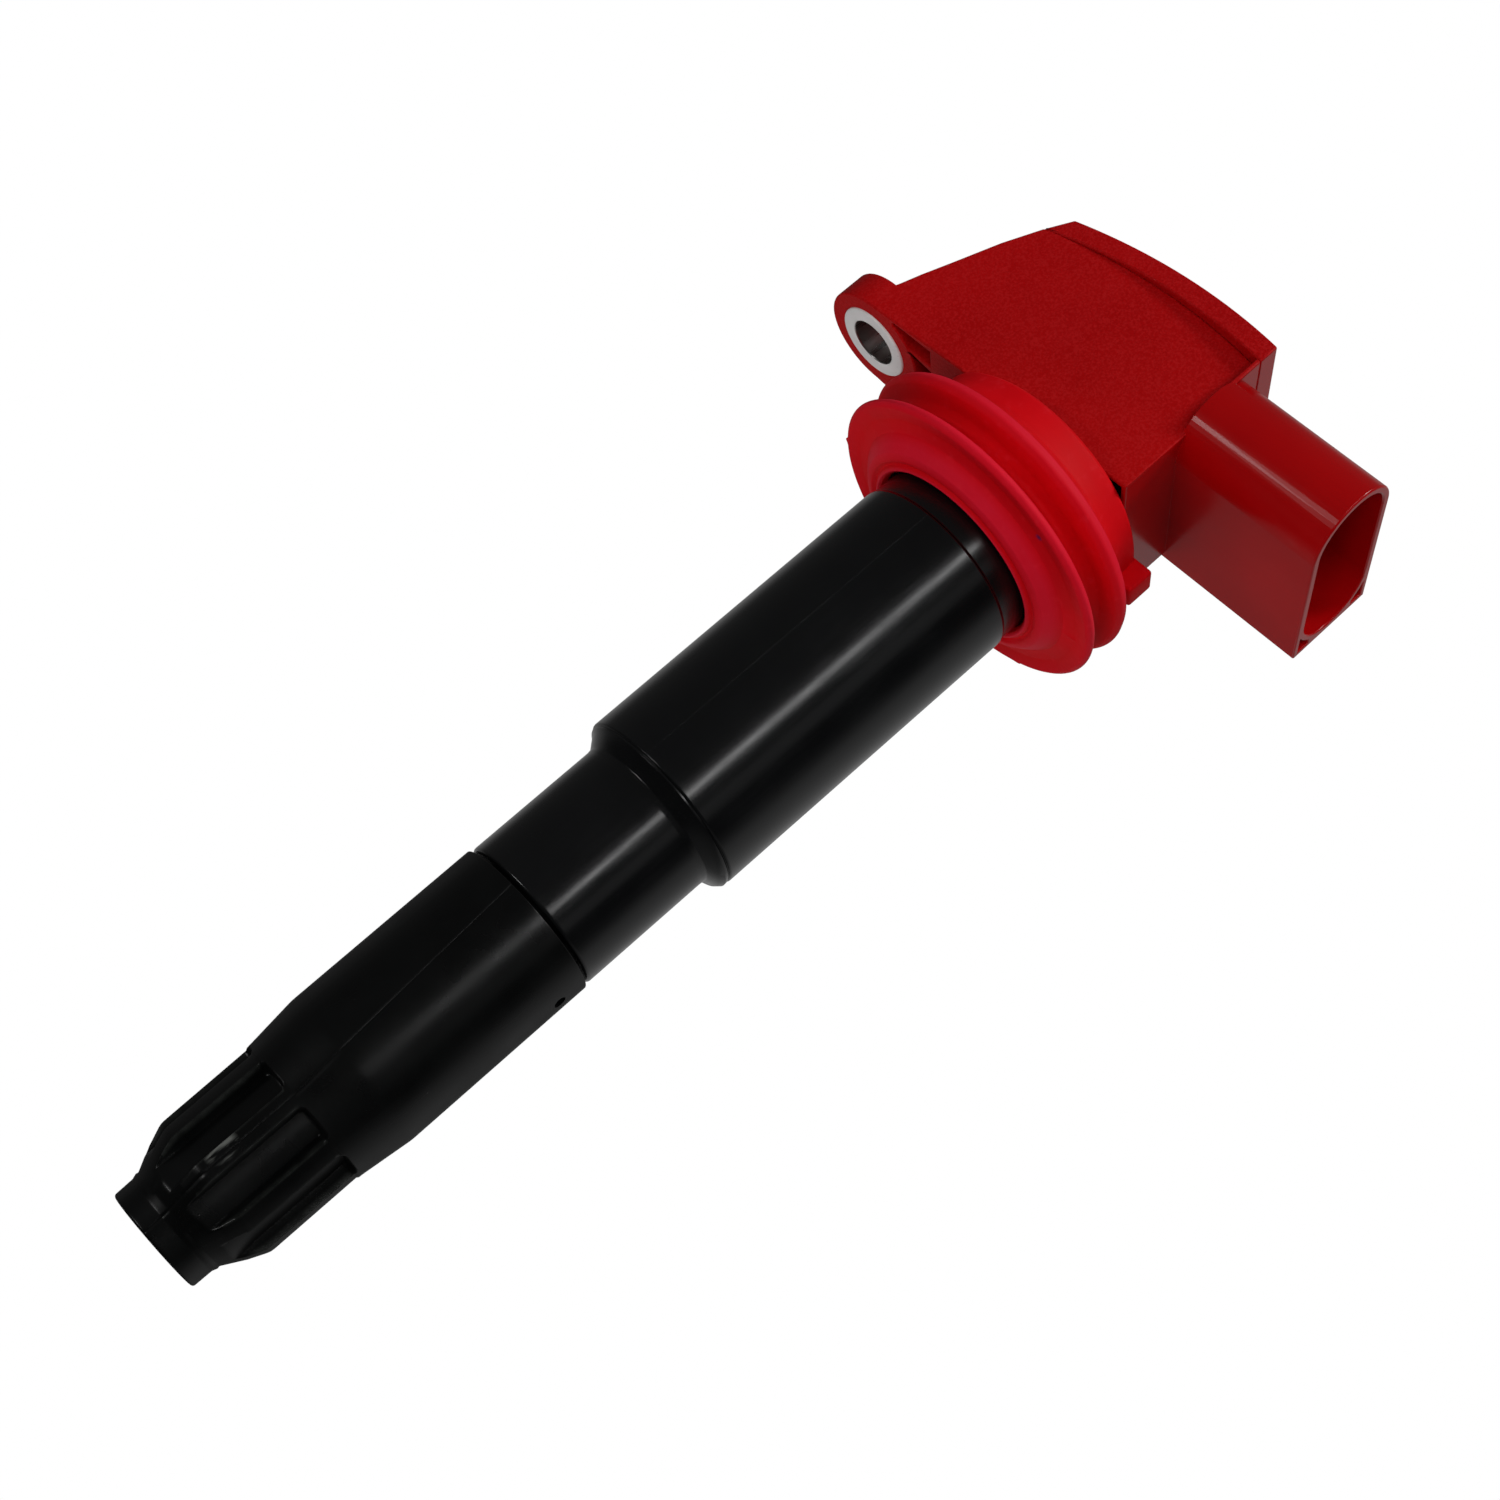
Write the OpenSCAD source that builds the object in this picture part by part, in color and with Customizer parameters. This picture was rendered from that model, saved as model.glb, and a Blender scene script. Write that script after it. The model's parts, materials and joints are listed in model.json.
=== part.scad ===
// Coil-on-plug ignition coil. +Z runs up the coil's axis to the head, +X points to the connector.
// The origin is on the axis, in the plane of the ear's seating face. All sizes are in millimetres.

/* [Coil tube] */
// Radius of the upper tube
tube_r = 12; // [11.6:0.1:12.4]
// Radius of the middle tube, just above the boot
mid_r = 10; // [9.6:0.1:10.1]
// Height of the step between the upper and middle tubes, below the origin
tube_end = 63.4; // [63:0.1:66]
// Distance from the origin down to the boot's top rim
boot_top = 84.2; // [84:0.1:86]

/* [Boot] */
// Outer radius of the boot's plain barrel
boot_r = 10.25; // [10.1:0.05:10.8]
// Distance from the origin down to the boot's mouth
boot_end = 137.8; // [136:0.1:140]
// Radius of the boot's bore, where the plug's insulator goes
plug_bore_r = 5.15; // [4.9:0.05:5.3]
// Number of ribs round the boot's lower end
rib_count = 8; // [6:1:10]

/* [Well seal] */
// Outer radius of the two sealing lips
lip_r = 21; // [20:0.1:22]

/* [Head] */
// Half width of the head at its connector end
head_half_w = 12.25; // [12:0.05:12.6]
// Height of the head's crown above the origin
head_top = 28; // [27.5:0.1:29]
// Distance from the axis to the head's connector face
head_x = 13.3; // [13:0.1:13.8]
// Wall thickness of the head
wall = 1.2; // [1:0.1:1.4]

/* [Mounting ear] */
// Distance from the coil's axis to the bolt's axis
ear_x = 29.7; // [29:0.1:31]
// Outer radius of the ear
ear_r = 7.5; // [7.3:0.1:7.8]
// Radius of the bolt hole in the bush
bush_bore_r = 3.3; // [3.1:0.05:3.4]
// Outer radius of the bush
bush_r = 5.3; // [5:0.1:5.5]

/* [Connector] */
// Distance from the axis to the connector's mouth
mouth_x = 34.7; // [33:0.1:37]
// Width of the connector across the pins
conn_w = 28.2; // [27.6:0.1:28.6]
// Height of the connector
conn_h = 13.2; // [13:0.1:13.6]
// Number of connector pins
pin_count = 4; // [4:1:4]

/* [Hidden] */
$fn = 64;
round_fn = 96;
eps = 0.01;

// Places on the coil's axis, measured down from the origin
seal_top = 0.3;
seal_end = 16.6;
shoulder_z = 18.6;
step_h = 2.6;
case_floor_z = 60.6;
tower_end = 99.5;
spring_seat_z = 84;
contact_z = 108;
plug_bore_z = 113;

// Radii of the nested coil parts, from the outside in
neck_r = 11.4;
case_bore_r = 10.3;
tower_r = 7.5;
rod_bore_r = 3.5;
sheath_r = 10.1;
sheath_in_r = 9.6;
primary_r = 9.3;
primary_in_r = 8.3;
primary_bobbin_in_r = 7.4;
secondary_r = 6.9;
secondary_in_r = 5.3;
secondary_bobbin_in_r = 4.2;
core_r = 4;

// Head, in plan and from the side
head_mid_y = 1.1;
cover_mid_y = 1;
cover_half_w = 13.9;
notch_z = 4.7;
ear_h = 4.5;
shoulder_top_x = -20;
crown_x = -4.5;
crown_arc_r = 85;
cover_h = 2.9;
cavity_x0 = -18.2;
scoop_r = 6.6;
pocket_x = -19.35;
pocket_depth = 10;
flange_h = 3;
flange_x0 = -11;
rim_w = 0.8;

// Connector
conn_mid_y = 0.45;
conn_z = 8.95;
conn_wall = 1.1;
conn_floor_x = 17;
plate_t = 0.7;
pin_pitch = 5;
pin_w = 2.2;
pin_t = 0.8;
pin_tip_x = 29;
pin_foot_x = 8.5;
board_z = 7.6;
board_t = 1;

// Springy parts
wire_r = 0.4;
spring_r = 2.55;
spring_turns = 11;
wire_sides = 6;
steps_per_turn = 14;

// Ribs round the boot's lower end
rib_deg = 17;
rib_first_deg = -77.7;
rib_floor_r = 7.7;
rib_top_z = 116.8;
rib_end_z = 132.4;
vent_r = 0.8;
vent_deg = 2.5;

PINS = [for (i = [1 : pin_count]) str("terminal_pin_", i)];

// A round bar or tube on the coil's axis, from depth top down to depth bottom
module ring(top, bottom, outer, inner = 0) {
    difference() {
        translate([0, 0, -bottom]) cylinder(r = outer, h = bottom - top, $fn = round_fn);
        if (inner > 0)
            translate([0, 0, -bottom - 1]) cylinder(r = inner, h = bottom - top + 2, $fn = round_fn);
    }
}

module box(low, high) {
    translate(low) cube(high - low);
}

// ---- Head ----

// The head in plan: a wedge from the ear to the connector face, drawn in by inset on every side
module head_plan(inset, x0) {
    near = head_mid_y - head_half_w;
    far = head_mid_y + head_half_w;
    span = head_x + ear_x;
    low = -ear_r + (near + ear_r) * (x0 + ear_x) / span;
    high = ear_r + (far - ear_r) * (x0 + ear_x) / span;
    polygon([[x0, low + inset], [head_x - inset, near + inset], [head_x - inset, far - inset],
        [x0, high - inset]]);
}

// The cover in plan: flush with the head at the shoulder, proud of it at the connector end
module cover_plan() {
    near = head_mid_y - head_half_w;
    far = head_mid_y + head_half_w;
    low = -ear_r + (near + ear_r) * (shoulder_top_x - 2 + ear_x) / (head_x + ear_x);
    high = ear_r + (far - ear_r) * (shoulder_top_x - 2 + ear_x) / (head_x + ear_x);
    polygon([[shoulder_top_x - 2, low], [head_x, cover_mid_y - cover_half_w],
        [head_x, cover_mid_y + cover_half_w], [shoulder_top_x - 2, high]]);
}

// The side outline of the head, in X and Z, below the crown's arc
module head_side() {
    polygon([[-ear_x, 0], [head_x, 0], [head_x, head_top], [shoulder_top_x, head_top],
        [shoulder_top_x, 26.6], [-22.2, 23], [-24.6, 18], [-27, 11.8], [-28.6, 7.8], [-ear_x, notch_z]]);
}

// A crown disc: everything under the arc that is drop below the top of the head
module under_crown(drop) {
    translate([crown_x, 40, head_top - crown_arc_r])
        rotate([90, 0, 0])
            cylinder(r = crown_arc_r - drop, h = 80, $fn = 180);
}

module side_slab() {
    translate([0, 40, 0]) rotate([90, 0, 0]) linear_extrude(80) head_side();
}

module head_body() {
    intersection() {
        linear_extrude(head_top + 1) head_plan(0, -ear_x);
        side_slab();
        under_crown(cover_h);
    }
    translate([-ear_x, 0, 0]) cylinder(r = ear_r, h = ear_h, $fn = round_fn);
}

// The connector's section, in Y and Z: one end round, the other end square
module connector_section(inset) {
    r = conn_h / 2;
    round_y = conn_mid_y - conn_w / 2 + r;
    translate([round_y, r]) circle(r = r - inset, $fn = round_fn);
    translate([round_y, inset]) square([conn_w - r - inset, conn_h - 2 * inset]);
}

// The opening for the mating plug: both ends round
module cavity_section() {
    r = conn_h / 2;
    round_y = conn_mid_y - conn_w / 2 + r;
    far_y = conn_mid_y + conn_w / 2 - r;
    translate([round_y, r]) circle(r = r - conn_wall, $fn = round_fn);
    translate([far_y, r]) circle(r = r - conn_wall, $fn = round_fn);
    translate([round_y, conn_wall]) square([far_y - round_y, conn_h - 2 * conn_wall]);
}

// The two open corners between the round cavity and the square outer wall
module corner_section() {
    r = conn_h / 2;
    far_y = conn_mid_y + conn_w / 2 - r;
    difference() {
        translate([far_y + 1.5, 0.8]) square([r - 2.3, conn_h - 1.6]);
        translate([far_y, r]) circle(r = r - 0.2, $fn = round_fn);
        translate([far_y, r - 4]) square([r, 8]);
    }
}

// Extrudes a section drawn in Y and Z along +X, from x0 to x1
module along_x(x0, x1) {
    translate([x0, 0, conn_z])
        rotate([90, 0, 90])
            linear_extrude(x1 - x0) children();
}

// The head's end wall stands as proud of the sides as the cover does, from the connector up
module end_plate() {
    intersection() {
        box([head_x - plate_t, cover_mid_y - cover_half_w, conn_z + conn_h / 2],
            [head_x, cover_mid_y + cover_half_w, head_top]);
        under_crown(cover_h);
    }
}

// One of the pockets beside the bush, cut up into the underside between the ear and the body
module ear_pocket(y0, y1, x0) {
    difference() {
        box([-ear_x + 2, y0, -1], [pocket_x, y1, pocket_depth]);
        translate([-ear_x, 0, -2]) cylinder(r = ear_r + 0.1, h = pocket_depth + 3, $fn = round_fn);
        box([-ear_x, y0 - 1, -2], [x0, y1 + 1, pocket_depth + 1]);
    }
}

module head_housing() {
    color("firebrick")
        difference() {
            union() {
                head_body();
                along_x(head_x - plate_t, mouth_x) connector_section(0);
                end_plate();
            }
            // space for the electronics, open at the top and at the bottom
            translate([0, 0, flange_h]) linear_extrude(head_top) head_plan(wall, cavity_x0);
            translate([0, 0, -1]) linear_extrude(flange_h + 2) head_plan(rim_w, flange_x0);
            // connector opening, its two corner pockets and the pins' slots
            along_x(conn_floor_x, mouth_x + 1) cavity_section();
            along_x(mouth_x - 6, mouth_x + 1) corner_section();
            for (i = [0 : pin_count - 1])
                translate([head_x - 3, pin_y(i) - pin_w / 2, pin_z() - pin_t / 2])
                    cube([conn_floor_x - head_x + 4, pin_w, pin_t]);
            // bolt well, bush seat and the coring beside the ear
            translate([-ear_x, 0, ear_h]) cylinder(r = scoop_r, h = head_top, $fn = round_fn);
            translate([-ear_x, 0, -1]) cylinder(r = bush_r, h = ear_h + 2, $fn = round_fn);
            ear_pocket(-7.3, -4.4, -25.9);
            ear_pocket(-3.2, 3.2, -24);
            ear_pocket(4.4, 7.5, -25.9);
        }
}

// A curved plate over the head, with a locating rim that drops inside the housing
module head_cover() {
    color("crimson") {
        difference() {
            intersection() {
                linear_extrude(head_top + 1) cover_plan();
                side_slab();
                under_crown(0);
            }
            under_crown(cover_h);
        }
        intersection() {
            difference() {
                translate([0, 0, 20]) linear_extrude(8) head_plan(wall + 0.1, cavity_x0 + 0.1);
                translate([0, 0, 19]) linear_extrude(10) head_plan(wall + 1.1, cavity_x0 + 1.1);
            }
            under_crown(cover_h - eps);
            box([-30, -30, 21.6], [30, 30, 40]);
        }
    }
}

module mounting_bush() {
    color("gainsboro")
        translate([-ear_x, 0, -0.2])
            difference() {
                cylinder(r = bush_r, h = ear_h + 0.2, $fn = round_fn);
                translate([0, 0, -1]) cylinder(r = bush_bore_r, h = ear_h + 3, $fn = round_fn);
            }
}

// ---- Seal ----

// The seal's section, in radius and height: a folded collar, two round-edged lips and a top flange
module seal_section() {
    edge_r = 1;
    lip_low = 13.1;
    lip_high = 7.7;
    rim_x = lip_r - edge_r;
    polygon([[12.4, 0.4 - seal_end], [13.1, -seal_end], [13.7, -16.3], [14.3, -15.5], [15.2, -14.4],
        [16.3, -13.5], [17.3, -13.1], [18.2, -13.2], [19, -13.6], [rim_x, -lip_low - edge_r],
        [rim_x, -lip_low + edge_r], [18.2, -11.6],
        [17.2, -11.1], [16.9, -10.4], [17.2, -9.7], [18.2, -9.2], [rim_x, -lip_high - edge_r],
        [rim_x, -lip_high + edge_r], [18, -5.9], [16.9, -4.9], [16.3, -3.3], [16.3, -1.5], [15.9, -0.7],
        [15.3, -seal_top], [neck_r, -seal_top], [neck_r, -9.5], [12.8, -10.5], [12.8, -14.8]]);
    translate([rim_x, -lip_low]) circle(r = edge_r);
    translate([rim_x, -lip_high]) circle(r = edge_r);
}

module well_seal() {
    color("red") {
        rotate_extrude($fn = round_fn) seal_section();
        // locating tab beside the connector face
        box([15, 1.4, -3.4], [18.5, 4.5, -seal_top]);
    }
}

// ---- Coil case, tube and tower ----

module coil_case() {
    color("black")
        difference() {
            union() {
                // flange that plugs the underside of the head
                translate([0, 0, 0.3])
                    linear_extrude(flange_h - 0.3) head_plan(rim_w + 0.05, flange_x0 + 0.05);
                ring(-0.4, shoulder_z, neck_r);
                ring(shoulder_z, tube_end, tube_r);
                translate([0, 0, -tube_end - step_h])
                    cylinder(r1 = mid_r, r2 = tube_r, h = step_h, $fn = round_fn);
                ring(tube_end + step_h, boot_top - 0.3, mid_r);
                ring(boot_top - 0.3, tower_end, tower_r);
            }
            ring(-flange_h - 1, case_floor_z, case_bore_r);
            ring(case_floor_z - 1, tower_end + 1, rod_bore_r);
        }
}

// The boot's outline as a solid bar: barrel, ribbed end, cone and tip ring
module boot_bar() {
    rotate_extrude($fn = round_fn)
        polygon([[0, -boot_top], [boot_r - 0.15, -boot_top], [boot_r, -boot_top - 0.3], [boot_r, -110.5],
            [9.95, -114.6], [9.5, -116.4], [9.45, -129.2], [8.4, -131.6], [6.9, -134.3], [6.6, -135],
            [6.55, -boot_end], [0, -boot_end]]);
}

// One recess between two ribs
module rib_recess(a0, a1) {
    far = 30;
    difference() {
        translate([0, 0, -rib_end_z])
            linear_extrude(rib_end_z - rib_top_z)
                polygon([[0, 0], far * [cos(a0), sin(a0)], far * [cos(a1), sin(a1)]]);
        ring(rib_top_z - 1, rib_end_z + 1, rib_floor_r);
    }
}

module plug_boot() {
    rib_step = 360 / rib_count;
    color("dimgray")
        difference() {
            boot_bar();
            ring(boot_top - 1, tower_end + 0.3, tower_r + 0.05);
            ring(tower_end, plug_bore_z, 5.6);
            ring(plug_bore_z - 1, boot_end + 1, plug_bore_r);
            translate([0, 0, -boot_end - eps])
                cylinder(r1 = 5.8, r2 = plug_bore_r - 0.1, h = 1.5, $fn = round_fn);
            for (i = [0 : rib_count - 1])
                rib_recess(rib_first_deg + i * rib_step + rib_deg / 2,
                    rib_first_deg + (i + 1) * rib_step - rib_deg / 2);
            rotate([0, 0, vent_deg])
                translate([tower_r - 1, 0, -88])
                    rotate([0, 90, 0]) cylinder(r = vent_r, h = 5, $fn = 32);
        }
}

// ---- High-tension path ----

// The n-sided section of the wire at one place along a coil of the spring
function wire_ring(angle, height) = [for (k = [0 : wire_sides - 1])
    let (turn = 360 * k / wire_sides, reach = spring_r + wire_r * cos(turn))
    [reach * cos(angle), reach * sin(angle), height + wire_r * sin(turn)]];

module contact_spring() {
    steps = spring_turns * steps_per_turn;
    top = spring_seat_z + wire_r;
    length = contact_z - spring_seat_z - 2 * wire_r;
    rings = [for (i = [0 : steps]) each wire_ring(-i * 360 / steps_per_turn, -top - length * i / steps)];
    sides = [for (i = [0 : steps - 1], k = [0 : wire_sides - 1])
        let (a = i * wire_sides + k, b = i * wire_sides + (k + 1) % wire_sides)
        [a, b, b + wire_sides, a + wire_sides]];
    caps = [[for (k = [wire_sides - 1 : -1 : 0]) k], [for (k = [0 : wire_sides - 1]) steps * wire_sides + k]];
    color("silver") polyhedron(points = rings, faces = concat(sides, caps));
}

// The button that the spring presses on the plug's terminal
module plug_contact() {
    color("goldenrod")
        difference() {
            union() {
                ring(contact_z - 3, contact_z, spring_r - wire_r - 0.1);
                ring(contact_z, contact_z + 5, 3.4);
            }
            ring(contact_z + 3.4, contact_z + 6, 2.4);
        }
}

module spring_seat() {
    color("goldenrod") ring(spring_seat_z - 2, spring_seat_z, rod_bore_r);
}

module suppression_resistor() {
    color("tan") ring(64, spring_seat_z - 2, rod_bore_r - 0.3);
}

module ht_terminal() {
    color("goldenrod") {
        ring(case_floor_z - 1, case_floor_z, 6);
        ring(case_floor_z, 64, 1.8);
    }
}

// ---- Transformer ----

module center_core() {
    color("slategray") ring(12, 50, core_r);
}

module upper_magnet() {
    color("dimgray") ring(9, 12, core_r);
}

module lower_magnet() {
    color("dimgray") ring(50, 53, core_r);
}

module core_buffers() {
    color("black") {
        ring(7.5, 9, core_r);
        ring(53, 54.5, core_r);
    }
}

// Where rib i of the secondary bobbin starts, measured down from the origin
function bobbin_rib(i) = 9 + i * 4.4;
bobbin_ribs = 11;
rib_t = 0.6;

module secondary_bobbin() {
    color("ivory")
        difference() {
            union() {
                ring(7.5, 57, secondary_in_r);
                for (i = [0 : bobbin_ribs - 1]) ring(bobbin_rib(i), bobbin_rib(i) + rib_t, secondary_r + 0.2);
            }
            ring(6, 54.5, secondary_bobbin_in_r);
        }
}

module secondary_winding() {
    color("peru")
        for (i = [0 : bobbin_ribs - 2])
            ring(bobbin_rib(i) + rib_t, bobbin_rib(i + 1), secondary_r, secondary_in_r);
}

module primary_bobbin() {
    color("ivory")
        difference() {
            union() {
                ring(5, 58.5, primary_in_r);
                ring(5, 6, sheath_in_r - 0.1);
                ring(57.5, 58.5, sheath_in_r - 0.1);
            }
            ring(4, 59.5, primary_bobbin_in_r);
        }
}

module primary_winding() {
    color("chocolate") ring(8, 55.5, primary_r, primary_in_r);
}

// A rolled sheet-steel sleeve with one lengthwise slot
module outer_core() {
    color("lightslategray")
        difference() {
            ring(5, 58.5, sheath_r, sheath_in_r);
            box([0, -0.75, -60], [20, 0.75, -3]);
        }
}

module primary_leads() {
    color("chocolate")
        for (y = [-3, 3])
            translate([-8.3, y, -5]) cylinder(r = 0.45, h = board_z + 5, $fn = 24);
}

// ---- Electronics in the head ----

function pin_y(i) = conn_mid_y + (i - (pin_count - 1) / 2) * pin_pitch;
function pin_z() = conn_z + conn_h / 2;

module driver_board() {
    color("darkgreen") box([-15, -7.2, board_z], [9.4, 8.2, board_z + board_t]);
}

module heat_spreader() {
    color("silver") box([-5.5, -5.5, board_z + board_t], [4.5, 4.5, board_z + board_t + 1.2]);
}

module power_transistor() {
    color("black") box([-4.5, -4.5, board_z + board_t + 1.2], [3.5, 3.5, board_z + board_t + 5.4]);
}

module control_chip() {
    color("black") box([-5, 5.2, board_z + board_t], [1, 7.6, board_z + board_t + 1.5]);
}

module noise_capacitor() {
    color("khaki") box([-14, 0.6, board_z + board_t], [-7.2, 6, board_z + board_t + 5]);
}

module hv_diode() {
    color("black")
        translate([-14, -3.6, board_z + board_t + 1.4])
            rotate([0, 90, 0]) cylinder(r = 1.4, h = 7, $fn = 32);
}

// Cured resin round the board and its parts, which hold their own shapes in it
module potting_resin() {
    color("saddlebrown")
        difference() {
            translate([0, 0, flange_h + 0.4]) linear_extrude(15) head_plan(wall + 0.05, cavity_x0 + 0.05);
            ring(-flange_h - 0.5, 0, 10.6);
            driver_board();
            heat_spreader();
            power_transistor();
            control_chip();
            noise_capacitor();
            hv_diode();
            primary_leads();
            for (i = [0 : pin_count - 1]) terminal_pin(i);
        }
}

// A bent blade: a foot that stands on the board and a blade with a thinned tip in the connector
module terminal_pin(i) {
    y = pin_y(i);
    color("darkkhaki") {
        box([pin_foot_x, y - pin_w / 2, pin_z() - pin_t / 2],
            [pin_tip_x - 1, y + pin_w / 2, pin_z() + pin_t / 2]);
        box([pin_foot_x, y - pin_w / 2, board_z + board_t], [pin_foot_x + pin_t, y + pin_w / 2, pin_z()]);
        box([pin_tip_x - 1 - eps, y - 0.7, pin_z() - 0.25], [pin_tip_x, y + 0.7, pin_z() + 0.25]);
    }
}

head_housing();
head_cover();
mounting_bush();
well_seal();
coil_case();
plug_boot();
contact_spring();
plug_contact();
spring_seat();
suppression_resistor();
ht_terminal();
center_core();
upper_magnet();
lower_magnet();
core_buffers();
secondary_bobbin();
secondary_winding();
primary_bobbin();
primary_winding();
outer_core();
primary_leads();
driver_board();
heat_spreader();
power_transistor();
control_chip();
noise_capacitor();
hv_diode();
potting_resin();
for (i = [1 : pin_count])
    terminal_pin(i - 1);
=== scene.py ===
"""An ignition coil: red head with a mounting ear and a connector, red seal, black tube, black rubber boot.

Sizes in the mesh code are in millimetres, in the part's frame: +Z up the coil's axis, +X to the connector,
-Y the flat face. Every piece is turned into metres as it is made.
"""

import bmesh
import bpy
import json
import math
from mathutils import Matrix, Vector


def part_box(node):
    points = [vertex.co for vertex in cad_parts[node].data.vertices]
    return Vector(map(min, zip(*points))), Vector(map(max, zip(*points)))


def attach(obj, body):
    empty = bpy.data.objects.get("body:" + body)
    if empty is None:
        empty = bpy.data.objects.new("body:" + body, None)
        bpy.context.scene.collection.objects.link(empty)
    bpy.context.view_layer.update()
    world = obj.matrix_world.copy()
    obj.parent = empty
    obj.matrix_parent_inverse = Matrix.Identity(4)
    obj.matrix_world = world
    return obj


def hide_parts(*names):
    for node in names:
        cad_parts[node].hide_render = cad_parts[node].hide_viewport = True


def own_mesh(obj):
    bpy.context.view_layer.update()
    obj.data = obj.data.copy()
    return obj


MM = 0.001
TURN = 2 * math.pi
ARC_STEP = 12  # degrees between the points of a rounded corner
WAVES_PER_UNIT = 3.18  # bands that the wave texture draws to a unit at a scale of 1

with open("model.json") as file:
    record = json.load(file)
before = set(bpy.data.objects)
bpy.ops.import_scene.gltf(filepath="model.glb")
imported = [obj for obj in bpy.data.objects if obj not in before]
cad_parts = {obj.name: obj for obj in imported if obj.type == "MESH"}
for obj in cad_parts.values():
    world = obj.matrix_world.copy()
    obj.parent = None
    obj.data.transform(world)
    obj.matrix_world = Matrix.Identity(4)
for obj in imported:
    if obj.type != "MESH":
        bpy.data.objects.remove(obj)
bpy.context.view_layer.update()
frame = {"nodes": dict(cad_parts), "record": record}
SLOT = {part["node"]: part["material_slot"] for part in frame["record"]["subparts"]}


def cad_box(node):
    """A CAD node's lowest and highest corners, in millimetres to a hundredth."""
    return [[round(value / MM, 2) for value in corner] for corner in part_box(node)]


bush_low, bush_high = cad_box("mounting_bush")
boot_low, boot_high = cad_box("plug_boot")

# Camera: where it stands, what it looks at, how many degrees it is rolled, and its lens
CAMERA_PLACE = (112.62, -247.51, -124.09)
CAMERA_AIM = (2.24, 0.0, -51.33)
CAMERA_ROLL = 49.13
CAMERA_LENS = 57.37

# Lights and floor, in metres
LIGHT_AIM = Vector((0, 0, -0.04))
LIGHT_DISTANCE = 0.9
FLOOR_R = 0.5
FLOOR_Z = -0.9

# Head: where the smoother finish starts, how far its edges are rounded, and the connector's blades
GLOSS_X = 13.15
HEAD_EDGE = 0.22
PIN_EDGE = 0.08
PINS = 4

# Mounting bush: its metal is painted darker within BORE_SKIN of the bore, as shade in the hole
EAR_X = -29.7
BUSH_R = 5.3
BUSH_BORE = 3.3
BUSH_BOTTOM = bush_low[2]
BUSH_TOP = bush_high[2]
BORE_SKIN = 0.12

# Seal: the lips' edge, its top, and its bore where it grips the neck and where it stands clear
LIP_R = 21.0
SEAL_TOP = -0.3
NECK_GRIP_R = 11.62
NECK_HOLE_R = 12.3

# Tube and tower: PARTING_LINE is the azimuth of the fine seam in degrees, and FULL_SIDE is where the resin in
# the step bulges most
NECK_TOP_R = 11.4
NECK_R = 11.75
TUBE_R = 12.0
MID_R = 10.0
TOWER_R = 7.5
CASE_BORE_R = 10.3
ROD_BORE_R = 3.5
NECK_TOP = 0.35
SHOULDER_Z = -19.0
TUBE_END = -63.4
CASE_FLOOR = -60.6
TOWER_END = -99.5
PARTING_LINE = -91.5
SEAM_HEIGHT = 0.03
FULL_SIDE = 24
RESIN_BULGE = 0.9

# Boot: ribs with pockets between them, and two seams, each on a rib. The other ribs are LOW_RIB lower.
# RIB_HALF, FIRST_RIB, RIB_PITCH, SEAM_LEAN and VENT_AZIMUTH are in degrees.
BOOT_R = 10.25
BOOT_TOP = boot_high[2]
BOOT_END = boot_low[2]
BOOT_BORE_R = 5.15
SPRING_BORE_R = 5.6
TOWER_BORE_R = 7.55
RIBS = 8
RIB_HALF = 8.5
FIRST_RIB = -77.7
RIB_PITCH = 360 / RIBS
RIB_TOP = -116.8
RIB_END = -134.5
RIB_MID_R = 8.6
LOW_RIB = 0.16
POCKET_R = 7.7
POCKET_CORNER = 0.9
POCKET_FOOT = -127.5
WALL_LIP = 0.14
WALL_WIDTH = 0.34
CORNER_TOP = RIB_TOP + 1.0
CORNER_END = RIB_TOP - 1.6
SEAM_DEPTH = 0.035
SEAM_FOOT = -115.0
SEAM_LEAN = 11
VENT_R = 0.8
VENT_Z = -88.0
VENT_AZIMUTH = 2.5

# Spring: 19 of its 24 mm are left when the contact is pressed in
SPRING_TOP = -84.0
SPRING_END = -108.0
SPRING_R = 2.55
WIRE_R = 0.4
SPRING_TURNS = 11

# Distance between rows of the boot's mesh: on the barrel, at the ribs' tops, along the ribs, at their foot
BARREL_STEP = 1.5
CORNER_STEP = 0.13
RIB_STEP = 0.8
FOOT_STEP = 0.3


# ---------------------------------------------------------------- camera, floor and light


def make_camera():
    """The photograph's view, from below and in front, rolled so that the tube runs to a corner."""
    place = Vector(CAMERA_PLACE) * MM
    aim = Vector(CAMERA_AIM) * MM
    roll = math.radians(CAMERA_ROLL)
    data = bpy.data.cameras.new("camera")
    data.sensor_width = 36
    data.lens = CAMERA_LENS
    data.clip_start = 0.01
    data.clip_end = 10
    ahead = (aim - place).normalized()
    level = ahead.cross(Vector((0, 0, 1))).normalized()
    upright = level.cross(ahead)
    right = math.cos(roll) * level + math.sin(roll) * upright
    up = right.cross(ahead)
    camera = bpy.data.objects.new("camera", data)
    camera.matrix_world = Matrix.Translation(place) @ Matrix((right, up, -ahead)).transposed().to_4x4()
    bpy.context.scene.collection.objects.link(camera)
    bpy.context.scene.camera = camera


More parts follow.
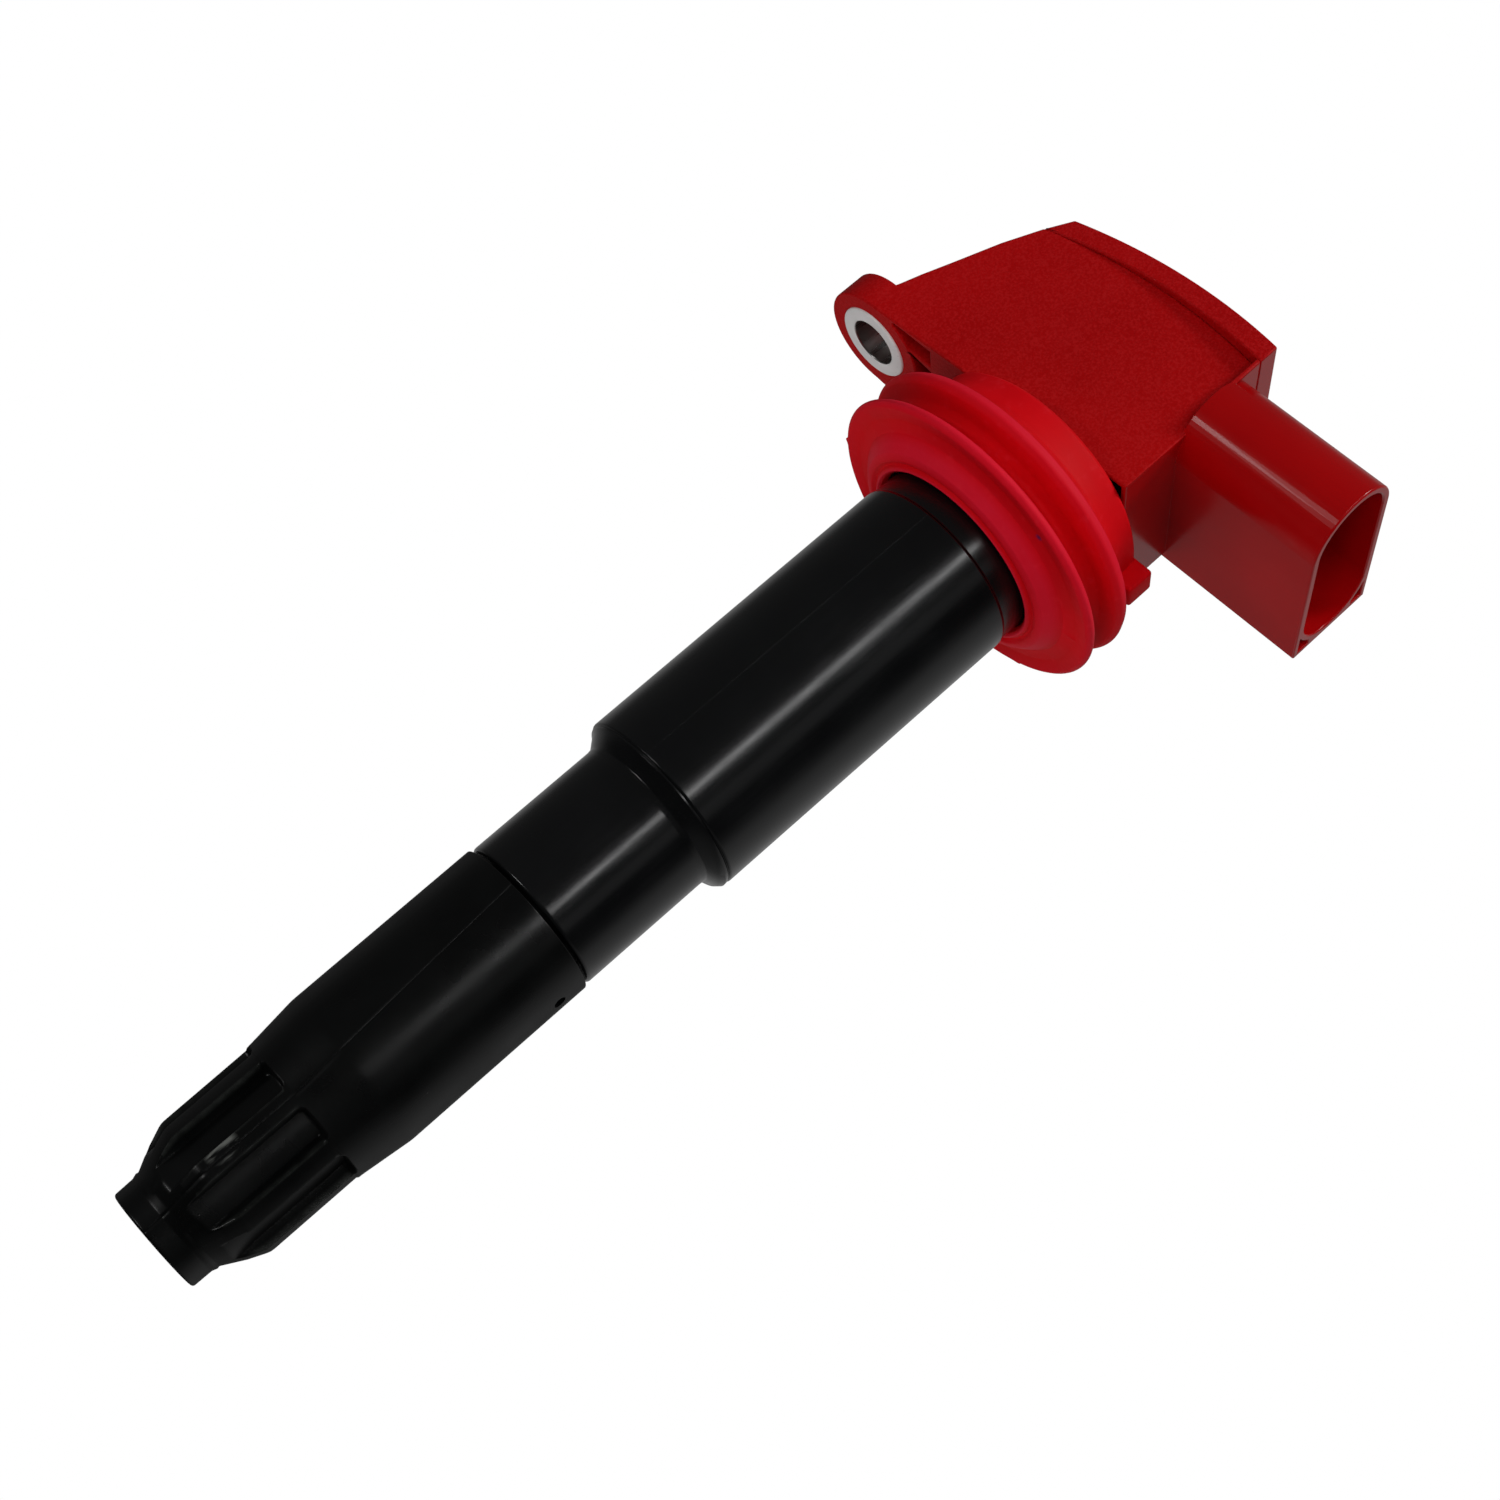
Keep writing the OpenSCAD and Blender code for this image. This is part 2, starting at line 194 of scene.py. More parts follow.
def area_light(name, direction, size, power, mirrored=True):
    """A rectangular softbox that faces the part. size is its width and its height in metres."""
    data = bpy.data.lights.new(name, "AREA")
    data.shape = "RECTANGLE"
    data.size, data.size_y = size
    data.energy = power
    toward = Vector(direction).normalized()
    light = bpy.data.objects.new(name, data)
    light.location = LIGHT_AIM + toward * LIGHT_DISTANCE
    light.rotation_mode = "QUATERNION"
    light.rotation_quaternion = (-toward).to_track_quat("-Z", "Y")
    light.visible_camera = False
    light.visible_glossy = mirrored
    bpy.context.scene.collection.objects.link(light)


def world_ramp(tree, value, stops):
    """A grey that changes with value, which runs from -1 to 1. Each stop is a value and its grey."""
    shift = tree.nodes.new("ShaderNodeMapRange")
    shift.inputs["From Min"].default_value = -1
    shift.inputs["From Max"].default_value = 1
    tree.links.new(value, shift.inputs["Value"])
    ramp = tree.nodes.new("ShaderNodeValToRGB")
    elements = ramp.color_ramp.elements
    while len(elements) < len(stops):
        elements.new(0.5)
    for element, (at, grey) in zip(elements, stops):
        element.position = (at + 1) / 2
        element.color = (grey, grey, grey, 1)
    tree.links.new(shift.outputs["Result"], ramp.inputs["Fac"])
    return ramp.outputs["Color"]


def make_world():
    """A dim room on the camera's side, and a white table behind the part that fades out below it."""
    world = bpy.data.worlds.new("studio")
    bpy.context.scene.world = world
    world.use_nodes = True
    tree = world.node_tree
    tree.nodes.clear()
    add = tree.nodes.new
    link = tree.links.new
    where = add("ShaderNodeTexCoord").outputs["Generated"]

    def along(direction):
        made = add("ShaderNodeVectorMath")
        made.operation = "DOT_PRODUCT"
        made.inputs[1].default_value = Vector(direction).normalized()
        link(where, made.inputs[0])
        return made.outputs["Value"]

    def times(first, second):
        made = add("ShaderNodeVectorMath")
        made.operation = "MULTIPLY"
        link(first, made.inputs[0])
        link(second, made.inputs[1])
        return made.outputs["Vector"]

    table = world_ramp(tree, along((0.12, 0.98, -0.1)), ((-1, 0.075), (0.12, 0.075), (0.4, 0.25), (1, 0.4)))
    below = world_ramp(tree, along((0, 0, 1)), ((-1, 0.35), (-0.45, 0.4), (-0.25, 0.8), (0.05, 1)))
    dark_side = world_ramp(tree, along((0.97, -0.05, 0.26)), ((-1, 1), (0.86, 1), (0.97, 0.3)))
    glow = add("ShaderNodeBackground")
    link(times(times(table, below), dark_side), glow.inputs["Color"])
    plain = add("ShaderNodeBackground")
    plain.inputs["Color"].default_value = (1, 1, 1, 1)
    seen = add("ShaderNodeLightPath")
    mix = add("ShaderNodeMixShader")
    link(seen.outputs["Is Camera Ray"], mix.inputs["Fac"])
    link(glow.outputs["Background"], mix.inputs[1])
    link(plain.outputs["Background"], mix.inputs[2])
    out = add("ShaderNodeOutputWorld")
    link(mix.outputs["Shader"], out.inputs["Surface"])


def make_floor():
    """A plain pale disc below the part, which its gloss does not mirror."""
    mesh = bpy.data.meshes.new("floor")
    shape = bmesh.new()
    bmesh.ops.create_circle(shape, cap_ends=True, radius=FLOOR_R, segments=96)
    shape.to_mesh(mesh)
    shape.free()
    floor = bpy.data.objects.new("floor", mesh)
    floor.location = (0, 0, FLOOR_Z)
    floor.visible_glossy = False
    floor.data.materials.append(plastic("floor_paint", (0.8, 0.8, 0.79), 0.6))
    bpy.context.scene.collection.objects.link(floor)


def make_stage():
    """Camera, world, floor and lights. The strips make the highlights, and the unmirrored lights fill in."""
    make_camera()
    make_world()
    make_floor()
    view = bpy.context.scene.view_settings
    view.view_transform = "Standard"
    view.look = "None"
    area_light("tube_strip", (0.56, -0.77, 0.30), (0.08, 0.5), 0.78)
    area_light("tube_fill", (0.86, -0.42, 0.28), (0.22, 0.5), 0.06)
    area_light("connector_strip", (-0.38, -0.78, -0.53), (0.3, 0.06), 0.75)
    area_light("top", (0.33, -0.45, 0.83), (0.3, 0.2), 3.0)
    area_light("front", (0.35, -0.85, -0.2), (0.35, 0.35), 1.8, mirrored=False)
    area_light("below", (0.3, -0.35, -0.89), (0.35, 0.35), 1.2, mirrored=False)
    area_light("behind_low", (-0.3, 0.6, -0.74), (0.35, 0.35), 1.4, mirrored=False)


# ---------------------------------------------------------------- materials


class Shade:
    """A node material on one Principled shader, whose patterns are laid in the part's own space."""

    def __init__(self, name, rough, metal=0.0, specular=0.5):
        self.material = bpy.data.materials.new(name)
        self.material.use_nodes = True
        self.tree = self.material.node_tree
        self.shader = self.tree.nodes["Principled BSDF"]
        self.shader.inputs["Roughness"].default_value = rough
        self.shader.inputs["Metallic"].default_value = metal
        self.shader.inputs["Specular IOR Level"].default_value = specular
        self.place = self.tree.nodes.new("ShaderNodeTexCoord").outputs["Object"]
        self.bumped = None

    def link(self, source, target):
        self.tree.links.new(source, target)

    def node(self, kind, operation, first, second):
        """A maths node of that kind on two sources or numbers."""
        made = self.tree.nodes.new(kind)
        made.operation = operation
        for value, socket in zip((first, second), made.inputs):
            if isinstance(value, bpy.types.NodeSocket):
                self.link(value, socket)
            else:
                socket.default_value = value
        return made.outputs[0]

    def grain(self, per_metre, detail=2.0, stretch=(1, 1, 1)):
        """Noise with that many bumps to the metre, stretched along an axis where stretch is under 1."""
        spread = self.tree.nodes.new("ShaderNodeMapping")
        spread.inputs["Scale"].default_value = stretch
        self.link(self.place, spread.inputs["Vector"])
        made = self.tree.nodes.new("ShaderNodeTexNoise")
        made.inputs["Scale"].default_value = per_metre
        made.inputs["Detail"].default_value = detail
        self.link(spread.outputs["Vector"], made.inputs["Vector"])
        return made.outputs["Fac"]

    def stripes(self, per_metre, axis):
        """Even bands across that axis."""
        made = self.tree.nodes.new("ShaderNodeTexWave")
        made.wave_type = "BANDS"
        made.bands_direction = axis
        made.inputs["Scale"].default_value = per_metre / WAVES_PER_UNIT
        self.link(self.place, made.inputs["Vector"])
        return made.outputs["Fac"]

    def near(self, centre, reach, scale=(1, 1, 1)):
        """One at a centre and nothing at reach from it, in millimetres. A scale over 1 narrows that axis."""
        away = self.node("ShaderNodeVectorMath", "SUBTRACT", self.place, Vector(centre) * MM)
        shaped = self.node("ShaderNodeVectorMath", "MULTIPLY", away, scale)
        length = self.tree.nodes.new("ShaderNodeVectorMath")
        length.operation = "LENGTH"
        self.link(shaped, length.inputs[0])
        return self.between(length.outputs["Value"], 1.0, 0.0, 0.0, reach * MM)

    def between(self, value, low, high, start=0.3, end=0.7):
        """A number that goes from low to high as value goes from start to end."""
        made = self.tree.nodes.new("ShaderNodeMapRange")
        made.inputs["From Min"].default_value = start
        made.inputs["From Max"].default_value = end
        made.inputs["To Min"].default_value = low
        made.inputs["To Max"].default_value = high
        self.link(value, made.inputs["Value"])
        return made.outputs["Result"]

    def times(self, first, second):
        """The product of two sources or numbers."""
        return self.node("ShaderNodeMath", "MULTIPLY", first, second)

    def attribute(self, name):
        """A number that the mesh code painted on the piece's corners."""
        made = self.tree.nodes.new("ShaderNodeAttribute")
        made.attribute_name = name
        return made.outputs["Fac"]

    def colour(self, value, first, second, start=0.3, end=0.7):
        """The base colour goes from first to second as value goes from start to end."""
        ramp = self.tree.nodes.new("ShaderNodeValToRGB")
        ramp.color_ramp.elements[0].position = start
        ramp.color_ramp.elements[0].color = (*first, 1)
        ramp.color_ramp.elements[1].position = end
        ramp.color_ramp.elements[1].color = (*second, 1)
        self.link(value, ramp.inputs["Fac"])
        self.link(ramp.outputs["Color"], self.shader.inputs["Base Color"])
        self.painted = ramp.outputs["Color"]

    def over(self, value, colour):
        """Another colour on top of the base colour, as much as value says."""
        mix = self.tree.nodes.new("ShaderNodeMixRGB")
        mix.inputs["Color2"].default_value = (*colour, 1)
        self.link(value, mix.inputs["Fac"])
        self.link(self.painted, mix.inputs["Color1"])
        self.link(mix.outputs["Color"], self.shader.inputs["Base Color"])
        self.painted = mix.outputs["Color"]

    def rough_at_edges(self, value, low, high, edge):
        """Roughness from low to high with value, and up to edge where the surface is seen at a slant."""
        slant = self.tree.nodes.new("ShaderNodeLayerWeight")
        slant.inputs["Blend"].default_value = 0.5
        rise = self.between(slant.outputs["Facing"], 0, edge - high, 0.3, 0.75)
        both = self.node("ShaderNodeMath", "ADD", self.between(value, low, high), rise)
        self.link(both, self.shader.inputs["Roughness"])

    def rough(self, value, low, high, start=0.3, end=0.7):
        """Roughness goes from low to high as value goes from start to end."""
        self.link(self.between(value, low, high, start, end), self.shader.inputs["Roughness"])

    def bump(self, value, height):
        """Adds relief of that height in millimetres on top of what is there."""
        made = self.tree.nodes.new("ShaderNodeBump")
        made.inputs["Distance"].default_value = height * MM
        self.link(value, made.inputs["Height"])
        if self.bumped:
            self.link(self.bumped, made.inputs["Normal"])
        self.bumped = made.outputs["Normal"]
        self.link(self.bumped, self.shader.inputs["Normal"])


def plastic(name, colour, rough, variation=0.06, height=0.01, per_metre=3000):
    """A moulded plastic with fine grain, faint cloudiness and uneven gloss."""
    made = Shade(name, rough)
    broad = made.grain(90, 3)
    made.colour(broad, [c * (1 - variation) for c in colour], [c * (1 + variation) for c in colour])
    made.rough(broad, rough * 0.88, rough * 1.12)
    made.bump(made.grain(per_metre, 3), height)
    return made.material


def metal(name, colour, rough, stretch=(1, 1, 1), per_metre=900, height=0.004, metallic=1.0):
    """A metal with fine tool marks or rolling marks, and patches that are duller."""
    made = Shade(name, rough, metal=metallic)
    marks = made.grain(per_metre, 4, stretch)
    made.colour(made.grain(220, 3), [c * 0.88 for c in colour], [min(1, c * 1.04) for c in colour])
    made.rough(marks, rough * 0.75, rough * 1.3)
    made.bump(marks, height)
    return made.material


def turned_metal():
    """The bush's pale face, oxidised so that it scatters more light than it mirrors."""
    return metal("turned_aluminium", (0.96, 0.95, 0.94), 0.36, (1, 1, 0.15), 1500, metallic=0.1)


def satin_red():
    """The head's moulded finish: a soft eroded grain with fine lighter specks and a few rubbed places."""
    made = Shade("satin_red", 0.55, specular=0.12)
    broad = made.grain(70, 4)
    made.colour(broad, (0.41, 0.001, 0.0018), (0.475, 0.0014, 0.0023))
    rubbed = made.between(made.grain(160, 6, (1, 1, 0.4)), 0, 0.35, 0.62, 0.72)
    made.over(rubbed, (0.48, 0.005, 0.007))
    made.over(made.between(made.grain(3100, 2), 0, 0.5, 0.44, 0.62), (0.56, 0.012, 0.014))
    made.rough(broad, 0.5, 0.62)
    made.bump(made.grain(1100, 3), 0.04)
    made.bump(made.grain(2600, 2), 0.04)
    made.bump(made.grain(45, 1), 0.25)
    return made.material


def gloss_red():
    """The connector's smoother finish, with faint draw marks along it."""
    made = Shade("gloss_red", 0.22, specular=0.29)
    broad = made.grain(60, 3)
    made.colour(broad, (0.37, 0.0008, 0.0016), (0.42, 0.0011, 0.002))
    made.rough(made.grain(300, 4, (0.25, 1, 1)), 0.18, 0.24)
    made.bump(made.grain(2400, 2), 0.0012)
    return made.material


def red_silicone():
    """Soft rubber with dust and a painted sheen on its ridges, flow marks and one stray fleck of dye."""
    made = Shade("silicone", 0.62, specular=0.12)
    broad = made.grain(110, 4)
    made.colour(broad, (0.7, 0.0009, 0.005), (0.78, 0.0012, 0.007))
    # dust and painted sheen: a lighter pink laid over the ridges, where light falls on the lips and the
    # collar
    dust_and_sheen = made.times(made.attribute("dust_and_sheen"), made.between(made.grain(260, 3), 0.75, 1.0))
    made.over(dust_and_sheen, (0.82, 0.012, 0.038))
    made.over(made.between(made.grain(900, 5), 0, 0.2, 0.58, 0.72), (0.85, 0.03, 0.05))
    made.over(made.near((12.02, -13.93, -13.35), 0.6), (0.03, 0.015, 0.11))
    made.rough(broad, 0.58, 0.7)
    made.bump(made.grain(1500, 3), 0.015)
    return made.material


def black_case():
    """Polished black moulding with fine scratches along the tube."""
    made = Shade("case_black", 0.2, specular=0.5)
    broad = made.grain(120, 3)
    made.colour(broad, (0.0022, 0.0024, 0.0027), (0.0034, 0.0037, 0.004))
    lines = made.grain(2200, 4, (1, 1, 0.08))
    made.rough(made.times(lines, broad), 0.17, 0.25, 0.15, 0.38)
    made.bump(lines, 0.0004)
    made.bump(made.grain(5200, 2), 0.0006)
    return made.material


def boot_rubber():
    """Matt black rubber, with pale scuffs on one rib, rib edges lighter as wear and a painted edge highlight,
    and specks of dust.
    """
    made = Shade("boot_black", 0.36, specular=0.32)
    broad = made.grain(150, 4)
    made.colour(broad, (0.0010, 0.0012, 0.0012), (0.002, 0.0022, 0.0022))
    # wear and painted edge highlight: the ribs' edges a little lighter
    worn_and_highlighted = made.times(made.attribute("edge_wear_and_highlight"), made.between(made.grain(700, 4), 0.2, 1.0))
    made.over(made.times(worn_and_highlighted, 0.28), (0.05, 0.055, 0.05))
    streaks = made.between(made.grain(1500, 5, (1, 1, 0.12)), 0, 1, 0.46, 0.6)
    place = made.between(made.near((1.3, -9.3, -126.0), 2.0, (1.2, 1, 0.85)), 0, 1, 0.05, 0.4)
    made.over(made.times(streaks, place), (0.13, 0.135, 0.125))
    made.over(made.between(made.grain(1800, 1), 0, 0.4, 0.8, 0.84), (0.08, 0.08, 0.075))
    made.rough_at_edges(broad, 0.25, 0.33, 0.68)
    made.bump(made.grain(2800, 3), 0.003)
    return made.material


def copper_winding(name, pitch):
    """Varnished wire laid side by side."""
    made = Shade(name, 0.25, metal=1.0)
    turns = made.stripes(1 / (pitch * MM), "Z")
    made.colour(made.grain(400, 3), (0.42, 0.13, 0.04), (0.6, 0.22, 0.08))
    made.rough(turns, 0.2, 0.38)
    made.bump(turns, pitch * 0.4)
    return made.material


def laminated_steel(name, colour, per_metre):
    """Thin steel sheets stacked along X."""
    made = Shade(name, 0.42, metal=1.0)
    layers = made.stripes(per_metre, "X")
    made.colour(made.grain(300, 4), [c * 0.8 for c in colour], colour)
    made.rough(layers, 0.35, 0.5)
    made.bump(layers, 0.02)
    return made.material


def resin_material():
    """Cured amber resin with a few darker swirls."""
    made = Shade("cured_resin", 0.22)
    swirl = made.grain(130, 6)
    made.colour(swirl, (0.035, 0.016, 0.009), (0.075, 0.036, 0.018))
    made.rough(swirl, 0.15, 0.3)
    made.bump(made.grain(260, 2), 0.02)
    return made.material


def board_material():
    """Green solder mask over woven glass."""
    made = Shade("solder_mask", 0.35)
    weave = made.times(made.stripes(2200, "X"), made.stripes(2200, "Y"))
    made.colour(made.grain(180, 3), (0.01, 0.085, 0.03), (0.014, 0.12, 0.045))
    made.rough(weave, 0.3, 0.42)
    made.bump(weave, 0.008)
    return made.material


def make_materials():
    """One material for each slot of the record."""
    return {
        "red_housing": satin_red(),
        "red_silicone": red_silicone(),
        "black_case": black_case(),
        "black_rubber": boot_rubber(),
        "bush_metal": turned_metal(),
        "spring_steel": metal("bright_steel", (0.6, 0.6, 0.62), 0.22, (1, 1, 1), 2400),
        "brass_plate": metal("brass", (0.78, 0.56, 0.25), 0.26),
        "core_steel": laminated_steel("core_sheets", (0.3, 0.3, 0.32), 2800),
        "magnet": metal("sintered_magnet", (0.17, 0.17, 0.18), 0.5, per_metre=2600, height=0.01),
        "bobbin_plastic": plastic("bobbin_white", (0.62, 0.58, 0.46), 0.4),
        "enamel_copper": copper_winding("primary_wire", 0.5),
        "board_green": board_material(),
        "chip_black": plastic("chip_black", (0.02, 0.02, 0.021), 0.55, per_metre=5000),
        "spreader_metal": metal("rolled_aluminium", (0.74, 0.74, 0.75), 0.3, (0.05, 1, 1), 2000),
        "capacitor_tan": plastic("capacitor_case", (0.62, 0.5, 0.3), 0.3),
        "resistor_body": plastic("fired_ceramic", (0.5, 0.42, 0.32), 0.6, height=0.02),
        "resin": resin_material(),
        "pin_tin": metal("tin_plate", (0.68, 0.68, 0.67), 0.28, (0.1, 1, 1), 2600),
        "buffer_rubber": plastic("buffer_rubber", (0.015, 0.015, 0.015), 0.7),
    }


# ---------------------------------------------------------------- mesh helpers, in millimetres


def place_piece(name, shape, body, slot, nodes, crease=35):
    """Makes a named piece of a mesh in millimetres, on its body, in place of its CAD nodes."""
    bmesh.ops.recalc_face_normals(shape, faces=shape.faces)
    mesh = bpy.data.meshes.new(name)
    shape.to_mesh(mesh)
    shape.free()
    mesh.transform(Matrix.Scale(MM, 4))
    mesh.polygons.foreach_set("use_smooth", [True] * len(mesh.polygons))
    mesh.set_sharp_from_angle(angle=math.radians(crease))
    mesh.materials.append(MATERIALS[slot])
    piece = bpy.data.objects.new(name, mesh)
    bpy.context.scene.collection.objects.link(piece)
    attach(piece, body)
    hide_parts(*nodes)
    return piece


def rounded(corners, closed=True):
    """An outline of (radius, height, rounding) corners, with an arc of that rounding at each."""
    outline = []
    last = len(corners) - 1
    for i, (x, z, rounding) in enumerate(corners):
        here = Vector((x, z))
        if rounding == 0 or (not closed and i in (0, last)):
            outline.append(here)
            continue
        before = Vector(corners[i - 1][:2]) - here
        after = Vector(corners[(i + 1) % len(corners)][:2]) - here
        before.normalize()
        after.normalize()
        half = before.angle(after) / 2
        centre = here + (before + after).normalized() * rounding / math.sin(half)
        reach = rounding / math.tan(half)
        first = here + before * reach - centre
        second = here + after * reach - centre
        sweep = math.pi - 2 * half
        steps = max(2, math.ceil(math.degrees(sweep) / ARC_STEP))
        for k in range(steps + 1):
            t = k / steps
            arm = first * math.sin((1 - t) * sweep) + second * math.sin(t * sweep)
            outline.append(centre + arm / math.sin(sweep))
    return outline


def held(outline, near=0.1):
    """Adds a point close to both ends of each long straight run, which keeps its shading straight."""
    more = []
    for first, second in zip(outline, outline[1:] + outline[:1]):
        more.append(first)
        run = (second - first).length
        if run > 10 * near:
            more += [first.lerp(second, near / run), second.lerp(first, near / run)]
    return more


def even_angles(count):
    """That many angles round a circle, in radians."""
    return [TURN * k / count for k in range(count)]


def polar(angle, radius, height):
    """The point at an angle in radians, a radius and a height."""
    return Vector((radius * math.cos(angle), radius * math.sin(angle), height))


def join_rings(shape, rings, closed=True):
    """Joins rings of points with faces, and the last ring with the first where it is closed."""
    for here, there in zip(rings, rings[1:] + rings[:1] if closed else rings[1:]):
        for i in range(len(here)):
            shape.faces.new((here[i - 1], there[i - 1], there[i], here[i]))


def lathe(outline, angles, centre_x=0.0):
    """Turns a closed outline of (radius, height) about an upright axis."""
    shape = bmesh.new()
    rings = []
    for angle in angles:
        across = Vector((math.cos(angle), math.sin(angle), 0))
        rings.append([shape.verts.new(across * r + Vector((centre_x, 0, z))) for r, z in outline])
    join_rings(shape, rings)
    return shape


def box(shape, low, high):
    """Adds a closed box to a mesh and returns its corners."""
    made = bmesh.ops.create_cube(shape, size=1)["verts"]
    middle = (Vector(low) + Vector(high)) / 2
    span = Vector(high) - Vector(low)
    for v in made:
        v.co = middle + Vector(a * b for a, b in zip(v.co, span))
    return made


def cad_mesh(node):
    """A CAD node's mesh in millimetres, with its flat faces whole again."""
    shape = bmesh.new()
    shape.from_mesh(frame["nodes"][node].data)
    shape.transform(Matrix.Scale(1 / MM, 4))
    bmesh.ops.remove_doubles(shape, verts=shape.verts, dist=0.002)
    bmesh.ops.dissolve_limit(shape, angle_limit=math.radians(0.3), verts=shape.verts, edges=shape.edges)
    return shape


def mark_edges(shape, inner=0.06):
    """Marks the edges to round: outer edges fully, inner corners only a little."""
    weight = shape.edges.layers.float.new("bevel_weight_edge")
    for edge in shape.edges:
        if edge.is_manifold and edge.calc_face_angle() > math.radians(30):
            edge[weight] = 1.0 if edge.is_convex else inner


def round_edges(piece, width, segments=2):
    """Rounds the marked edges and keeps the flat faces flat between them."""
    bevel = piece.modifiers.new("rounded_edges", "BEVEL")
    bevel.width = width * MM
    bevel.segments = segments
    bevel.limit_method = "WEIGHT"
    bevel.use_clamp_overlap = False
    bevel.miter_outer = "MITER_ARC"
    weighted = piece.modifiers.new("weighted", "WEIGHTED_NORMAL")
    weighted.keep_sharp = True


# ---------------------------------------------------------------- head


def make_shell(name, node):
    """A moulded shell of the head, whose end wall and connector are smoother than its sides."""
    shape = cad_mesh(node)
    mark_edges(shape)
    piece = place_piece(name, shape, "coil", "red_housing", [node])
    piece.data.materials.append(GLOSS_RED)
    for face in piece.data.polygons:
        if face.center.x > GLOSS_X * MM:
            face.material_index = 1
    round_edges(piece, HEAD_EDGE)


def make_pins():
    """The connector's blades."""
    for number in range(1, PINS + 1):
        node = f"terminal_pin_{number}"
        shape = cad_mesh(node)
        mark_edges(shape)
        piece = place_piece(f"pin_{number}", shape, "coil", "pin_tin", [node])
        round_edges(piece, PIN_EDGE)


def make_bush():
    """The ear's metal bush, with painted shade on its bore."""
    inner = 0.35
    outer = 0.3
    outline = rounded([
        (BUSH_BORE, BUSH_BOTTOM, inner), (BUSH_R, BUSH_BOTTOM, outer),
        (BUSH_R, BUSH_TOP, outer), (BUSH_BORE, BUSH_TOP, inner),
    ])
    shape = lathe(held(outline), even_angles(96), EAR_X)
    bush = place_piece("bush", shape, "coil", "bush_metal", ["mounting_bush"])
    # painted shade: the bore's wall is a darker metal
    bush.data.materials.append(metal("bore_painted_shade", (0.42, 0.4, 0.39), 0.3, (1, 1, 0.1), 1800))
    for face in bush.data.polygons:
        if (face.center.xy - Vector((EAR_X * MM, 0))).length < (BUSH_BORE + BORE_SKIN) * MM:
            face.material_index = 1


# ---------------------------------------------------------------- seal


def seal_outline():
    """The seal's section as (radius, height), from its lower edge up the outside and down the bore."""
    edge_line = [
        (12.05, -15.0, 0.1), (12.3, -15.7, 0.15), (12.65, -16.0, 0.14), (13.05, -15.75, 0.14),
        (13.3, -15.3, 0.15),
    ]
    collar = [(13.9, -15.75, 0.35), (14.9, -15.4, 0.6), (15.8, -14.55, 0.7), (16.6, -13.65, 0.35)]
    lower_lip = [
        (18.4, -13.3, 1.0), (20.3, -13.6, 0.6), (LIP_R, -12.95, 0.5), (20.5, -12.3, 0.6), (18.2, -11.5, 1.2),
    ]
    valley = [(16.85, -10.4, 0.75)]
    upper_lip = [
        (18.2, -9.2, 1.2), (20.4, -8.7, 0.6), (LIP_R, -7.9, 0.6), (20.5, -6.8, 0.6), (18.0, -5.9, 1.0),
    ]
    flange = [(16.6, -4.6, 1.2), (16.3, -2.6, 1.0), (16.2, -0.9, 0.5), (15.5, SEAL_TOP, 0.4)]
    bore = [
        (NECK_GRIP_R, SEAL_TOP, 0.1), (NECK_GRIP_R, -9.5, 0.2),
        (NECK_HOLE_R, -10.6, 0.5), (NECK_HOLE_R, -14.2, 0.5),
    ]
    return rounded(edge_line + collar + lower_lip + valley + upper_lip + flange + bore)


def seal_nubs(shape):
    """Small tags of torn flash: azimuth, radius, height, reach and size of each."""
    for azimuth, radius, height, reach, size in (
        (-178, 20.9, -13.2, 0.45, 0.5),
        (179, 19.4, -13.9, -0.3, 0.6),
        (6, 17.8, -13.2, -0.9, 0.5),
        (1.5, 17.1, -10.2, 0.3, 0.5),
        (64, 20.8, -13.2, 0.35, 0.6),
        (70, 14.4, -16.4, 0.3, 0.7),
    ):
        angle = math.radians(azimuth)
        tag = polar(angle, radius, height)
        outward = polar(angle, 1, -0.5 if reach < 0 else 0)
        for v in shape.verts:
            away = (v.co - tag).length / size
            if away < 2.2:
                v.co += outward * abs(reach) * math.exp(-2 * away * away)


def paint_dust_and_sheen(shape):
    """Marks where the rubber's dust and painted sheen are, on the ridges where light falls: radius, height
    and reach of each ridge that carries them.
    """
    ridges = ((20.8, -7.0, 1.0), (20.8, -12.5, 1.0), (15.3, -14.9, 1.3), (12.7, -16, 0.3))
    dust_and_sheen = shape.verts.layers.float.new("dust_and_sheen")
    for v in shape.verts:
        for radius, height, reach in ridges:
            away = math.hypot(v.co.xy.length - radius, v.co.z - height) / reach
            v[dust_and_sheen] = max(v[dust_and_sheen], math.exp(-away * away))


def add_tab(shape):
    """The small rounded tab on the flange, under the connector."""
    tab = box(shape, (15, 0.9, -4.3), (18.8, 4.6, SEAL_TOP))
    edges = {edge for v in tab for edge in v.link_edges}
    bmesh.ops.bevel(shape, geom=list(edges), offset=0.4, offset_type="OFFSET", segments=3, profile=0.5,
                    affect="EDGES", clamp_overlap=True)


def make_seal():
    """The plug well's rubber seal, with a mesh that is finer where the tags of flash are."""
    finer = [math.radians(tag + step) for tag in (181, 1.5, 6, 64) for step in (-0.9, -0.3, 0.3, 0.9)]
    shape = lathe(seal_outline(), sorted(even_angles(216) + finer))
    paint_dust_and_sheen(shape)
    seal_nubs(shape)
    add_tab(shape)
    place_piece("seal", shape, "coil", "red_silicone", ["well_seal"], crease=50)


# ---------------------------------------------------------------- coil tube


